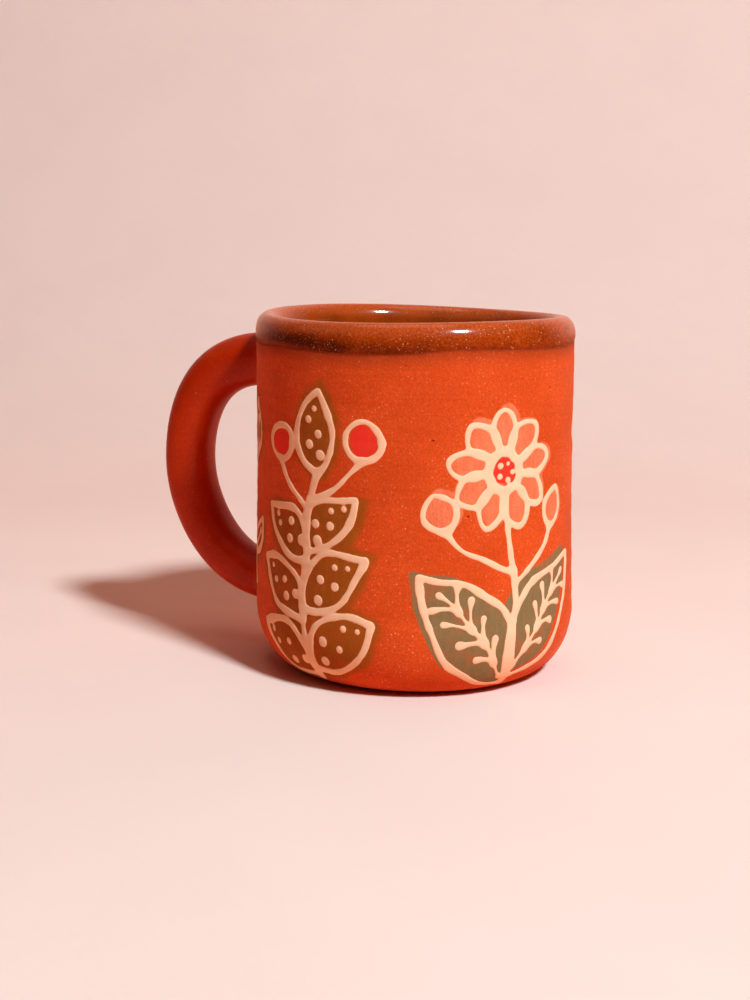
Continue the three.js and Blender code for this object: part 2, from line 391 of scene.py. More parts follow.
def strap_rings(line):
    """Softly squared ovals carried along the middle line, with the thickness on one even curve."""
    share = np.linspace(0, 1, len(line))[:, None]
    along = np.gradient(line, axis=0)
    along /= np.linalg.norm(along, axis=1, keepdims=True)
    outward = np.stack([-along[:, 1], along[:, 0]], -1)
    waist = GRIP_THICKNESS - (UPPER_THICKNESS + LOWER_THICKNESS) / 2
    thick = UPPER_THICKNESS * (1 - share) + LOWER_THICKNESS * share + 4 * waist * share * (1 - share)
    turn = np.linspace(0, 2 * np.pi, STRAP_COLUMNS, endpoint=False)[None, :]
    by_hand = 0.12 * np.sin(9 * share + 2 * turn) + 0.10 * np.sin(17 * share - 3 * turn + 1.1)
    half = thick / 2 + by_hand
    powers = np.abs(np.cos(turn)) ** STRAP_POWER + np.abs(np.sin(turn)) ** STRAP_POWER
    squared = powers ** (-1 / STRAP_POWER)
    out = half * squared * np.cos(turn)
    across = (half + STRAP_WIDENING / 2) * squared * np.sin(turn)
    reach = line[:, :1] + out * outward[:, :1]
    height = line[:, 1:] + out * outward[:, 1:]
    return np.stack([-reach, -across, height], -1)


# The handle is the same clay as the cup, but its colours are written darker: painted shade, as most of it
# stands in the cup's shadow.
handle_clay, handle_colour, handle_rough, handle_height = red_clay(
    "smoothed_earthenware_darkened_for_shade", "#C03404", "#A82600", 0.02, 0.15, 0.42
)
finish_clay(handle_clay, handle_colour, handle_rough, handle_height, 0.01, 0.28)
handle_rings = strap_rings(strap_line(STRAP_ROWS))
turned_piece(
    "pulled_handle",
    handle_rings,
    handle_rings[:1].mean(axis=1),
    handle_rings[-1:].mean(axis=1),
    handle_clay,
    ["handle"],
)


# The luting slip: soft clay worked round each root of the handle with a wet finger.
# It fills the corner between strap and wall with a small hollow fillet and fires to the same red; like the
# handle, it is drawn darker than the cup, as painted shade.

SLIP_LENGTH = 5.0
SLIP_SPREAD = 3.4
SLIP_SINK = 0.35  # how far its edges lie under the surface of strap and wall
CREASE_FILL = 0.3  # how far the curve's middle stands off the crease
FILLET_STEPS = 14


def wall_side(points, grow):
    """Points moved level, to or from the axis, onto the outside of the wall grown by an amount."""
    height = points[..., 2]
    middle = -LEAN * height / RIM_HEIGHT
    rise_table = np.linspace(CORNER_START, LIP_START, 600)
    line = outside_line(rise_table)
    radius = np.interp(height, line[:, 1], line[:, 0]) + grow
    x = middle - np.sqrt(np.maximum(radius**2 - points[..., 1] ** 2, 0))
    return np.stack([x, points[..., 1], height], -1)


def luting_ring(rings):
    """A ring with a hollow outer face, from the strap to the wall on a quadratic curve, and back inside."""
    reach_out = np.linalg.norm(rings - wall_side(rings, 0.0), axis=-1)
    outside = rings[..., 0] < wall_side(rings, 0.0)[..., 0]
    gap = np.where(outside, np.abs(reach_out - SLIP_LENGTH), np.inf)
    on_strap = rings[gap.argmin(axis=0), np.arange(rings.shape[1])]
    foot_gap = np.where(outside, reach_out, np.inf)
    crease = wall_side(rings[foot_gap.argmin(axis=0), np.arange(rings.shape[1])], 0.0)
    middle = crease.mean(axis=0)
    away = crease - middle
    away[:, 0] = 0
    away /= np.linalg.norm(away, axis=1, keepdims=True)
    on_wall = wall_side(crease + SLIP_SPREAD * away, 0.0)
    inward = -away * SLIP_SINK
    t = np.linspace(0, 1, FILLET_STEPS)[:, None, None]
    hollow = (1 - t) ** 2 * (on_strap + inward)[None]
    hollow = hollow + 2 * t * (1 - t) * (crease + CREASE_FILL * away)[None]
    hollow = hollow + t**2 * wall_side(on_wall, -SLIP_SINK)[None]
    hidden = np.stack([wall_side(crease, -2 * SLIP_SINK) + inward, (on_strap + crease) / 2 + 3 * inward])
    return np.concatenate([hollow, hidden])


slip_clay, slip_colour, slip_rough, slip_height = red_clay(
    "worked_slip_darkened_for_shade", "#C23606", "#AE2A02", 0.02, 0.1, 0.36
)
finish_clay(slip_clay, slip_colour, slip_rough, slip_height, 0.01, 0.28)
half_strap = STRAP_ROWS // 2
for name, node, rings in (
    ("upper_joint_slip", "upper_luting_slip", handle_rings[:half_strap]),
    ("lower_joint_slip", "lower_luting_slip", handle_rings[half_strap:][::-1, ::-1]),
):
    ring = luting_ring(rings)
    faces = grid_faces(len(ring), ring.shape[1], True, True).tolist()
    add_piece(name, ring.reshape(-1, 3), faces, slip_clay, [node])


# The drawing on the wall: leafy sprigs with berries and daisies with broad leaves, in turn round the mug,
# and a small twig each side of the handle. First coloured clay washes are brushed on in loose patches.

WALL_MEAN = 42.7  # radius at which a width on the drawing is a true width on the wall
LINE = 0.95  # half the width of a trailed outline
VEIN = 0.52  # half the width of a thin stroke
DOT = 1.25  # radius of a dot
BERRY = 4.6
PETALS = 9


def bowed(start, end, bow, count=40):
    """Points of an even arc from start to end that bulges to its left by bow."""
    start, end = np.array(start, float), np.array(end, float)
    t = np.linspace(0, 1, count)[:, None]
    way = end - start
    left = np.array([-way[1], way[0]]) / np.linalg.norm(way)
    return start + way * t + left * bow * 4 * t * (1 - t)


def blade(root, lean, length, width, bow=0.0, blunt=0.9, count=60):
    """Outline of a leaf or petal, up one edge and down the other.

    Half its width is a power of the sine of the way along, so a small power makes it blunt, and the
    middle line bulges sideways by bow. Lean is measured from upright, to the right."""
    up = np.concatenate([np.linspace(0, 1, count), np.linspace(1, 0, count)[1:]])
    side = np.concatenate([-np.ones(count), np.ones(count - 1)])
    across = side * width / 2 * np.sin(np.pi * up**0.9) ** blunt + bow * 4 * up * (1 - up)
    c, s = np.cos(lean), np.sin(lean)
    return np.array(root) + np.stack([length * up * s + across * c, length * up * c - across * s], -1)


def midrib(root, lean, length, bow, first, last, count=24):
    """Points along the middle of a blade between two shares of its length."""
    up = np.linspace(first, last, count)
    across = bow * 4 * up * (1 - up)
    c, s = np.cos(lean), np.sin(lean)
    return np.array(root) + np.stack([length * up * s + across * c, length * up * c - across * s], -1)


def ring_of(centre, radius, count=48):
    """Points round a circle."""
    turn = np.linspace(0, 2 * np.pi, count)
    return np.array(centre) + radius * np.stack([np.cos(turn), np.sin(turn)], -1)


def up_stem(stem, share):
    """The point at a share of the way up a stem."""
    return stem[int(share * (len(stem) - 1))]


def facing(side, strokes, washes):
    """A motif's strokes and washes, turned over left to right where side is -1."""
    turned_strokes = [(points * (side, 1), width) for points, width in strokes]
    turned_washes = [(kind, points * (side, 1)) for kind, points in washes]
    return turned_strokes, turned_washes


def sprig(side):
    """A sprig: a curved stem, leaves left and right with rows of dots, and red berries on stalks."""
    strokes, washes = [], []
    stem = bowed((0, 2), (2.0, 56), 3.0)
    strokes.append((stem, LINE))
    # Each leaf's share of the way up the stem, lean, length and width
    leaves = [
        (0.05, -1.0, 22, 12.0),
        (0.1, 0.95, 23, 12.5),
        (0.33, -0.94, 22, 12.0),
        (0.38, 0.9, 23, 12.5),
        (0.6, -0.86, 19, 11.0),
        (0.65, 0.84, 20, 11.5),
        (1.0, 0.05, 21, 12.5),
    ]
    for share, lean, length, width in leaves:
        root = up_stem(stem, share)
        bow = -1.2 * np.sign(lean)
        edge = blade(root, lean, length, width, bow)
        strokes.append((edge, LINE))
        washes.append(("olive", edge))
        dots = midrib(root, lean, length, bow, 0.24, 0.8, 5)
        beside = np.array((np.cos(lean), -np.sin(lean))) * 1.7
        for number, dot in enumerate(dots):
            at = dot + beside * (-1) ** number * (number < 4)
            strokes.append((at[None, :], DOT * (1 - 0.06 * number)))
    for share, bow, centre in ((0.84, 1.0, (-11.0, 63.0)), (0.88, -1.0, (15.5, 65.5))):
        root = up_stem(stem, share)
        strokes.append((bowed(root, centre - np.array((0, BERRY)), bow), LINE * 0.8))
        strokes.append((ring_of(centre, BERRY), LINE * 0.9))
        washes.append(("red", ring_of(centre, BERRY)))
    return facing(side, strokes, washes)


def daisy(side):
    """A daisy: round petals about a dotted eye on a stem, two broad veined leaves and two buds."""
    strokes, washes = [], []
    eye = np.array((-1.0, 58.0))
    stem = bowed((1.5, 2), eye - (0, 6), -2.0)
    strokes.append((stem, LINE))
    for turn in np.arange(PETALS) * 2 * np.pi / PETALS:
        root = eye + 4.6 * np.array((np.sin(turn), np.cos(turn)))
        petal = blade(root, turn, 10.5, 7.4, blunt=0.55)
        strokes.append((petal, LINE * 0.85))
        washes.append(("coral", petal))
    strokes.append((ring_of(eye, 4.4), LINE))
    washes.append(("red", ring_of(eye, 4.2)))
    strokes += [(dot[None, :], 0.75) for dot in ring_of(eye, 2.0, 6)[:-1]]
    leaves = [(0.02, -0.7, 39, 19.0), (0.06, 0.72, 38, 18.5)]  # as on the sprig
    for share, lean, length, width in leaves:
        root = up_stem(stem, share)
        bow = -2.0 * np.sign(lean)
        edge = blade(root, lean, length, width, bow=bow)
        strokes.append((edge, LINE))
        washes.append(("green", edge))
        strokes.append((midrib(root, lean, length, bow, 0.1, 0.84), VEIN))
        for at in (0.24, 0.38, 0.52, 0.66):
            foot = midrib(root, lean, length, bow, at, at, 1)[0]
            for hand in (-1, 1):
                reach = 0.66 * width / 2 * np.sin(np.pi * at) + 1.0
                tip = foot + reach * np.array((np.sin(lean + hand * 0.75), np.cos(lean + hand * 0.75)))
                strokes.append((bowed(foot, tip, 0.4 * hand, 14), VEIN))
    # Each bud's stalk, by its share of the way up the stem and its bow, and the bud's foot and lean
    buds = [(0.55, -2.0, (15.5, 42.0), 0.3), (0.62, 2.0, (-16.5, 43.0), -0.35)]
    for share, bow, foot, lean in buds:
        root = up_stem(stem, share)
        strokes.append((bowed(root, foot, bow), LINE * 0.8))
        bud = blade(foot, lean, 10.5, 7.5, blunt=0.7)
        strokes.append((bud, LINE * 0.85))
        washes.append(("coral", bud))
    return facing(side, strokes, washes)


def twig(side):
    """A small twig: a bent stem with three leaves, each with a vein."""
    strokes, washes = [], []
    stem = bowed((0, 22), (3, 58), 3.5)
    strokes.append((stem, LINE * 0.9))
    for share, lean, length in ((0.25, 0.8, 15), (0.52, -0.8, 14), (1.0, 0.1, 14)):
        root = up_stem(stem, share)
        edge = blade(root, lean, length, 7.0, bow=0.6)
        strokes.append((edge, LINE * 0.9))
        washes.append(("olive", edge))
        strokes.append((midrib(root, lean, length, 0.6, 0.2, 0.7), VEIN))
    return facing(side, strokes, washes)


# Each motif's middle in degrees round the mug from +X, with the handle at 180
DRAWING = [
    ("sprig_front", -108, sprig(1)),
    ("daisy_front", -37, daisy(1)),
    ("sprig_back", 36, sprig(-1)),
    ("daisy_back", 108, daisy(-1)),
    ("twig_front", -151, twig(1)),
    ("twig_back", 151, twig(-1)),
]


def by_hand(points, phase):
    """A steady hand's error: points shifted by slow waves of where they are, so that joins stay joined."""
    x, y = points[..., 0], points[..., 1]
    shift = [np.sin(0.31 * x + 0.23 * y + phase), np.sin(0.27 * y - 0.36 * x + 2 * phase)]
    return points + 0.45 * np.stack(shift, -1)


def patch_distance(places, outline):
    """Signed distance from places to a closed outline, minus inside, told by counting crossings."""
    start, way = outline, np.roll(outline, -1, axis=0) - outline
    to_place = places[:, None, :] - start[None]
    share = np.clip((to_place * way).sum(-1) / np.maximum((way * way).sum(-1), 1e-9), 0, 1)
    near = np.linalg.norm(to_place - share[..., None] * way, axis=-1).min(axis=1)
    x, y = places[:, :1], places[:, 1:]
    end = start + way
    spans = (start[:, 1] > y) != (end[:, 1] > y)
    crossing = start[:, 0] + (y - start[:, 1]) / np.where(way[:, 1] == 0, 1e-9, way[:, 1]) * way[:, 0]
    inside = (spans & (x < crossing)).sum(axis=1) % 2 == 1
    return np.where(inside, -near, near)


FAR = 12.0  # distance written where no wash is near
# How far each wash was brushed beside its outline
MISSED = {"olive": (0.6, -0.4), "green": (-2.4, 1.1), "red": (0.8, -0.3), "coral": (0.7, 0.5)}
wash_distance = {kind: np.full((len(cup_rise), CUP_COLUMNS), FAR) for kind in MISSED}
for index, (_, degrees, (_, washes)) in enumerate(DRAWING):
    turned = (cup_turn - np.radians(degrees) + np.pi) % (2 * np.pi) - np.pi
    across, up = np.meshgrid(turned * WALL_MEAN, cup_rise - FOOT_HEIGHT)
    places = np.stack([across, up], -1)
    for number, (kind, outline) in enumerate(washes):
        missed = 0.7 * np.array((np.cos(2.4 * number + index), np.sin(2.4 * number + index)))
        outline = by_hand(outline, index) + missed + MISSED[kind]
        low, high = outline.min(axis=0) - FAR / 2, outline.max(axis=0) + FAR / 2
        near = ((places > low) & (places < high)).all(axis=-1)
        field = wash_distance[kind]
        field[near] = np.minimum(field[near], patch_distance(places[near], outline))

GLAZE_BAND = 6.4  # how far the glaze comes down the outside, below the clay lip
GLAZE_FOOT = RIM_HEIGHT - GLAZE_BAND
glaze_edge = 0.5 * np.sin(5 * cup_turn + 5.93) + 0.4 * np.sin(cup_turn + 0.87) + 0.1 * np.sin(11 * cup_turn)
glaze_edge += 2.4 * np.exp(-(((cup_turn - np.pi) / 0.4) ** 2))  # wiped back round the handle's root
layers = {kind + "_wash": field for kind, field in wash_distance.items()}
layers["below_glaze"] = GLAZE_FOOT + glaze_edge[None, :] - cup_rise[:, None]
for name, field in layers.items():
    whole = np.full((len(clay_line), CUP_COLUMNS), FAR)
    whole[wall_rows] = field
    layer = thrown_cup.data.attributes.new(name, "FLOAT", "POINT")
    layer.data.foreach_set("value", np.append(whole.ravel(), [FAR, FAR]).astype(np.float32))

# Coloured clay washes: thin, brushed and matte, with loose edges and the red clay's grain showing through.
# Each has two tones, its run past the outline, its edge's softness and raggedness, and how well it covers
WASHES = {
    "olive": ("#8C4E0F", "#A8681B", 3.4, 3.0, 4.0, 0.95),
    "green": ("#6C6E4B", "#85865C", 1.0, 0.5, 1.2, 0.95),
    "red": ("#EA2C26", "#FC4438", 0.2, 0.5, 0.8, 0.97),
    "coral": ("#E86F49", "#F8A176", 1.0, 0.6, 1.2, 0.85),
}
place = add_node(cup_clay, "ShaderNodeTexCoord").outputs["Object"]
ragged = cloudy(cup_clay, place, 4.5)
thin = cloudy(cup_clay, place, 0.5, 2.0)
patchy = cloudy(cup_clay, place, 7)
upright = add_node(cup_clay, "ShaderNodeMapping", inputs={"Vector": place, "Scale": (1.0, 1.0, 0.2)})
brushed = cloudy(cup_clay, upright.outputs["Vector"], 1.1)
worn = ranged(cup_clay, thin, 0.34, 0.5, 0.72, 1.0)
covering = ranged(cup_clay, patchy, 0.3, 0.5, 0.74, 1.0, S_CURVE)
body = reckoned(cup_clay, "MULTIPLY", worn, covering)
for kind, (dark, light, spread, softness, raggedness, cover) in WASHES.items():
    distance = add_node(cup_clay, "ShaderNodeAttribute", {"attribute_name": kind + "_wash"}).outputs["Fac"]
    uneven = reckoned(cup_clay, "MULTIPLY_ADD", ragged, -raggedness, distance)
    brink = spread - raggedness / 2
    edge = ranged(cup_clay, uneven, brink, brink - softness, 0.0, cover, S_CURVE)
    layer = reckoned(cup_clay, "MULTIPLY", edge, body)
    paint = mixed(cup_clay, brushed, linear(dark), linear(light))
    cup_colour = mixed(cup_clay, layer, cup_colour, paint)

# A brown stain in the bare clay, where the glaze's lower edge soaked in; below it the clay is drawn faintly
# darker for a few millimetres
below_glaze_distance = add_node(cup_clay, "ShaderNodeAttribute", {"attribute_name": "below_glaze"}).outputs["Fac"]
below_glaze_uneven = reckoned(cup_clay, "MULTIPLY_ADD", ragged, -0.8, below_glaze_distance)
edge_stain = ranged(cup_clay, below_glaze_uneven, 1.1, -0.5, 0.0, 0.85, S_CURVE)
faint_darkening_below = ranged(cup_clay, below_glaze_uneven, 4.4, -0.8, 0.0, 0.55, S_CURVE)
stain_and_darkening = reckoned(cup_clay, "MAXIMUM", edge_stain, faint_darkening_below)
cup_colour = mixed(cup_clay, stain_and_darkening, cup_colour, linear("#74290A"))
finish_clay(cup_clay, cup_colour, cup_rough, cup_height, 0.07, 0.14, 0.18)


# The trailed slip: cream liquid clay squeezed from a fine nozzle over the washes, in lines and dots.
# It stands about a tenth of a millimetre proud with soft edges, and runs together where lines meet.

SLIP_HEIGHT = 0.12
SLIP_SHOULDER = 0.25  # how far in from its edge the slip comes up to most of its height
SLIP_STEP = 0.28
SLIP_FLOW = 0.3  # how far lines run together where they meet
SLIP_EDGE = 0.45  # how far past its edge the slip's skin is carried, sunk in the wall
BEAD_SPACING = 0.3
DROP = 0.24  # how much slip is left where the nozzle stops, which swells a thin line the most
MARGIN = 3.0  # round a stroke or a motif, past the reach of its slip


def even_points(points, spacing):
    """The same path with points at an even spacing."""
    if len(points) == 1:
        return points
    gone = np.concatenate([[0], np.cumsum(np.linalg.norm(np.diff(points, axis=0), axis=1))])
    even = np.linspace(0, gone[-1], max(int(gone[-1] / spacing), 2) + 1)
    return np.stack([np.interp(even, gone, points[:, 0]), np.interp(even, gone, points[:, 1])], -1)


def slip_distance(places, strokes, phase):
    """Signed distance to the edge of the slip, minus inside.

    It is the distance to beads of varied size along every stroke, joined into one pool by a soft least
    value, so that the corners where lines meet are filled."""
    field = np.full(places.shape[:2], FAR)
    for number, (points, half_width) in enumerate(strokes):
        beads = by_hand(even_points(points, BEAD_SPACING), phase)
        along = np.arange(len(beads)) * BEAD_SPACING
        swell = 1 + 0.15 * np.sin(0.27 * along + number) + 0.05 * np.sin(1.1 * along + 2 * number)
        swell += 0.13 * np.exp(-((np.sin(0.31 * along + number) / 0.3) ** 2))
        from_end = np.minimum(along, along[::-1])
        drop = DROP / half_width**2
        blob = drop * np.exp(-((from_end / 1.4) ** 2)) if len(beads) > 1 else 0.08 * np.sin(3 * number)
        size = half_width * (swell + blob)
        low, high = beads.min(axis=0) - MARGIN, beads.max(axis=0) + MARGIN
        rows = np.flatnonzero((places[:, 0, 1] > low[1]) & (places[:, 0, 1] < high[1]))
        columns = np.flatnonzero((places[0, :, 0] > low[0]) & (places[0, :, 0] < high[0]))
        window = np.ix_(rows, columns)
        apart = places[window][:, :, None, :] - beads
        stroke = (np.sqrt((apart * apart).sum(axis=-1)) - size).min(axis=-1)
        field[window] = -SLIP_FLOW * np.logaddexp(-field[window] / SLIP_FLOW, -stroke / SLIP_FLOW)
    return field


def slip_skin(name, degrees, strokes, phase):
    """One motif's slip as a closed skin over a grid on the wall.

    Its height above the wall is a tanh of the distance inside the edge, so that it rises softly from the
    wall and levels off. Cells well outside the edge are left out, and the skin is closed in the clay."""
    half_span = max(np.abs(points[:, 0]).max() for points, _ in strokes) + MARGIN
    top_rise = max(points[:, 1].max() for points, _ in strokes) + MARGIN
    across = np.arange(-half_span, half_span, SLIP_STEP)
    up = np.arange(0, top_rise, SLIP_STEP)
    places = np.stack(np.meshgrid(across, up), -1)
    field = slip_distance(places, strokes, phase)
    varied = SLIP_HEIGHT * (1 + 0.2 * np.sin(0.7 * places[..., 0] + phase) * np.sin(0.5 * places[..., 1]))
    stand = np.where(field < 0, varied * np.tanh(-field / SLIP_SHOULDER), np.maximum(-field, -SLIP_EDGE))
    turn = np.radians(degrees) + across / WALL_MEAN
    line = outside_line(up + FOOT_HEIGHT)
    slope = np.gradient(line, axis=0)
    slope /= np.linalg.norm(slope, axis=1, keepdims=True)

    def on_wall(distance):
        """Points at a distance off the wall, square to its slope."""
        radius = line[:, :1] + wheel_marks(turn[None, :], line[:, 1:]) + distance * slope[:, 1:]
        return thrown(radius, line[:, 1:] - distance * slope[:, :1], turn[None, :]).reshape(-1, 3)

    rows, columns = field.shape
    near = field < SLIP_EDGE
    kept = near[:-1, :-1] | near[1:, :-1] | near[:-1, 1:] | near[1:, 1:]
    cells = grid_faces(rows, columns, False, False)[kept.ravel()]
    under = cells[:, ::-1] + rows * columns
    framed = np.pad(kept, 1)
    corner = np.arange(rows * columns).reshape(rows, columns)
    rims = []
    for beside, first, second in (
        (framed[:-2, 1:-1], corner[:-1, :-1], corner[:-1, 1:]),
        (framed[1:-1, 2:], corner[:-1, 1:], corner[1:, 1:]),
        (framed[2:, 1:-1], corner[1:, 1:], corner[1:, :-1]),
        (framed[1:-1, :-2], corner[1:, :-1], corner[:-1, :-1]),
    ):
        open_side = kept & ~beside
        a, b = first[open_side], second[open_side]
        rims.append(np.stack([b, a, a + rows * columns, b + rows * columns], -1))
    faces = np.vstack([cells, under, *rims])
    used, renumbered = np.unique(faces, return_inverse=True)
    points = np.vstack([on_wall(stand), on_wall(np.full_like(stand, -2 * SLIP_EDGE))])[used]
    piece = add_piece(name, points, renumbered.reshape(faces.shape).tolist(), cream_slip)
    layer = piece.data.attributes.new("slip_depth", "FLOAT", "POINT")
    depth = np.concatenate([stand.ravel(), np.zeros(rows * columns)])[used]
    layer.data.foreach_set("value", depth.astype(np.float32))


# Cream slip: fine pale clay, matte, a little pink where it is thin and the red shows through
cream_slip = new_material("trailed_cream_slip")
place = add_node(cream_slip, "ShaderNodeTexCoord").outputs["Object"]
depth = add_node(cream_slip, "ShaderNodeAttribute", {"attribute_name": "slip_depth"}).outputs["Fac"]
cover = ranged(cream_slip, depth, 0.0, 0.07, curve=S_CURVE)
mottle = cloudy(cream_slip, place, 3.2, 4.0)
pale = mixed(cream_slip, mottle, linear("#FAD4AC"), linear("#FFE4C2"))
slip_tone = mixed(cream_slip, cover, linear("#E4966A"), pale)
pits = cloudy(cream_slip, place, 0.6)
finish_clay(cream_slip, slip_tone, 0.7, pits, 0.05, 0.2)

for index, (name, degrees, (strokes, _)) in enumerate(DRAWING):
    slip_skin("trailed_slip_" + name, degrees, strokes, index)


# The glaze: a clear brown coat poured inside and dipped over the lip, fired to a gloss.
# It comes a little way down the outside, and is thicker and darker where it gathered at its lower edge.

GLAZE = 0.3  # from the clay to the top of the coat outside
INNER_GLAZE = 0.55  # the same over the crest and inside, where it was poured
GLAZE_SINK = -0.12  # the coat's hidden underside, in the clay
EDGE_TAPER = 1.0  # over this length the coat comes up to most of its thickness

coat_line = np.vstack(
    [
        outside_line(np.linspace(GLAZE_FOOT, LIP_START, 14)[:-1]),
        lip_line(np.linspace(0, np.pi, 49)),
        inside_line(np.linspace(LIP_START, FLOOR + INNER_CORNER, 60)[1:]),
        inner_corner_line(np.linspace(0, np.pi / 2, 20)[1:]),
        np.stack([np.linspace(24, 1, 8), np.full(8, FLOOR)], -1),
    ]
)
along_coat = np.concatenate([[0], np.cumsum(np.linalg.norm(np.diff(coat_line, axis=0), axis=1))])


def coat_rings(thickness):
    """Rings of the coat at a thickness off the clay, its lower edge waved up and down round the cup."""
    line = off_clay(coat_line, thickness)
    near_edge = 1 - smooth(along_coat, 0, GLAZE_BAND)
    height = line[:, 1:] + glaze_edge[None, :] * near_edge[:, None]
    marks = wheel_marks(cup_turn[None, :], height) * (along_coat < GLAZE_BAND)[:, None]
    return thrown(line[:, :1] + marks, height, cup_turn[None, :])


crest = along_coat[np.argmax(coat_line[:, 1])]
coat_thick = GLAZE + (INNER_GLAZE - GLAZE) * smooth(along_coat, 3, crest)
coat_bead = 0.1 * np.exp(-(((along_coat - 0.9) / 0.6) ** 2))
coat_top = coat_rings((coat_thick + coat_bead) * (1 - 1.1 * np.exp(-along_coat / EDGE_TAPER)))
coat_under = coat_rings(np.full(len(coat_line), GLAZE_SINK))[::8]
floor_top = thrown(np.zeros(1), np.full(1, FLOOR + INNER_GLAZE), np.zeros(1))
floor_under = thrown(np.zeros(1), np.full(1, FLOOR + GLAZE_SINK), np.zeros(1))

# Brown glaze: a glossy clear coat over red clay, amber where thin, nearly black where it gathered,
# with fine pale flecks all through it, in loose crowds
brown_glaze = new_material("glossy_brown_glaze")
place = add_node(brown_glaze, "ShaderNodeTexCoord").outputs["Object"]
gathered, fleck_share, glass_share = (
    add_node(brown_glaze, "ShaderNodeAttribute", {"attribute_name": name}).outputs["Fac"]
    for name in ("gathered", "flecked", "glassy")
)
run = cloudy(brown_glaze, place, 8, 4.0)
thickness = reckoned(brown_glaze, "MULTIPLY_ADD", run, 1.1, gathered)
depth_tone = ranged(brown_glaze, thickness, 0.0, 1.5, curve=S_CURVE)
amber = mixed(brown_glaze, depth_tone, linear("#B6480A"), linear("#4A1802"))
mottle = cloudy(brown_glaze, place, 0.5, 2.0)
mottle_tone = ranged(brown_glaze, mottle, 0.32, 0.68, 0.62, 1.22)
mottled = mixed(brown_glaze, fleck_share, amber, mottle_tone, "MULTIPLY")
fine_fleck = scattered(brown_glaze, place, 0.5, 0.85, 0.8)
coarse_fleck = scattered(brown_glaze, place, 0.9, 0.55, 0.85)
fleck_tone = reckoned(brown_glaze, "MAXIMUM", fine_fleck, coarse_fleck)
crowding = cloudy(brown_glaze, place, 4, 2.0)
crowded = ranged(brown_glaze, crowding, 0.38, 0.62, 0.25, 1.0, S_CURVE)
fleck_crowd = reckoned(brown_glaze, "MULTIPLY", fleck_tone, crowded)
fleck_here = reckoned(brown_glaze, "MULTIPLY", fleck_crowd, fleck_share)
flecked = mixed(brown_glaze, fleck_here, mottled, linear("#F8AE80"))
orange_peel = cloudy(brown_glaze, place, 5, 1.0)
ripple = add_node(
    brown_glaze, "ShaderNodeBump", inputs={"Height": orange_peel, "Distance": 0.06 * MM, "Strength": 0.5}
).outputs["Normal"]
glossy = add_node(
    brown_glaze,
    "ShaderNodeBsdfPrincipled",
    inputs={
        "Base Color": flecked,
        "Roughness": 0.3,
        "IOR": 1.5,
        "Specular IOR Level": 0.05,
        "Coat Weight": glass_share,
        "Coat Roughness": 0.1,
        "Normal": ripple,
        "Coat Normal": ripple,
    },
)
add_node(brown_glaze, "ShaderNodeOutputMaterial", inputs={"Surface": glossy.outputs["BSDF"]})

glaze_rings = np.concatenate([coat_under[::-1], coat_top])
glaze_coat = turned_piece(
    "glaze_coat_fired", glaze_rings, floor_under, floor_top, brown_glaze, ["glaze_coat"]
)
# Where the glaze gathered: a dark band just above its lower edge, uneven round the cup. On the crest it is
# lighter, where the glaze runs thin, and that lighter tone is also a painted sheen of the pale room on the
# crest.
# The flecks are plain on the lip and faint inside, where the coat is thicker. The lower edge hardly shines
pooled = 0.12 + 0.55 * np.exp(6 * (np.cos(cup_turn + 1.95) - 1))
pooled += 0.4 * np.exp(6 * (np.cos(cup_turn - 1.2) - 1))
band_middle = 1.7 - 1.2 * np.sin(cup_turn + 1.75)
band = np.exp(-(((along_coat[:, None] - band_middle) / 1.5) ** 2)) * pooled
pooling_less_crest_sheen = band + 0.18 * np.exp(-along_coat / 0.8)[:, None]
# Lighter on the crest: thin glaze, and a painted sheen there.
pooling_less_crest_sheen -= 0.5 * np.exp(-(((along_coat - crest) / 2.6) ** 2))[:, None]
fleck_fade = 1 - 0.75 * smooth(along_coat, crest, crest + 5)
shine = 0.9 * smooth(along_coat, 0.5, 4)
for name, field in (
    ("gathered", pooling_less_crest_sheen),
    ("flecked", np.repeat(fleck_fade[:, None], CUP_COLUMNS, axis=1)),
    ("glassy", np.repeat(shine[:, None], CUP_COLUMNS, axis=1)),
):
    whole = np.vstack([np.ones((len(coat_under), CUP_COLUMNS)), field])
    layer = glaze_coat.data.attributes.new(name, "FLOAT", "POINT")
    layer.data.foreach_set("value", np.append(whole.ravel(), [0.0, 0.3]).astype(np.float32))


# The studio: a plain pale sweep of paper under and behind the mug, one soft lamp high on the right,
# a large faint one overhead and a very dim warm room. None of it is part of the mug.

SWEEP_HALF_WIDTH = 4000.0
SWEEP_FRONT = -4000.0
SWEEP_BEND = 250.0
SWEEP_RADIUS = 500.0
SWEEP_TOP = 1800.0
PAPER_LIFTS, PAPER_STANDS = 30.0, 200.0  # heights between which the paper turns pale in gloss
PAPER_IN_GLOSS = 0.5
LAMP_FADES, LAMP_ENDS = 900.0, 2000.0  # distances over which the lamp's light on the paper gives out

bend = np.linspace(0, np.pi / 2, 24)
sweep_line = np.vstack(
    [
        [[SWEEP_FRONT, 0.0]],
        np.stack([SWEEP_BEND + SWEEP_RADIUS * np.sin(bend), SWEEP_RADIUS * (1 - np.cos(bend))], -1),
        [[SWEEP_BEND + SWEEP_RADIUS, SWEEP_TOP]],
    ]
)
SWEEP_TURN = np.radians(21.5)  # square to the camera
sideways = np.linspace(-SWEEP_HALF_WIDTH, SWEEP_HALF_WIDTH, 5)
depth_grid, side_grid = np.meshgrid(sweep_line[:, 0], sideways, indexing="ij")
sweep_points = np.stack(
    [
        side_grid * np.cos(SWEEP_TURN) - depth_grid * np.sin(SWEEP_TURN),
        side_grid * np.sin(SWEEP_TURN) + depth_grid * np.cos(SWEEP_TURN),
        np.repeat(sweep_line[:, 1:], len(sideways), axis=1),
    ],
    -1,
)
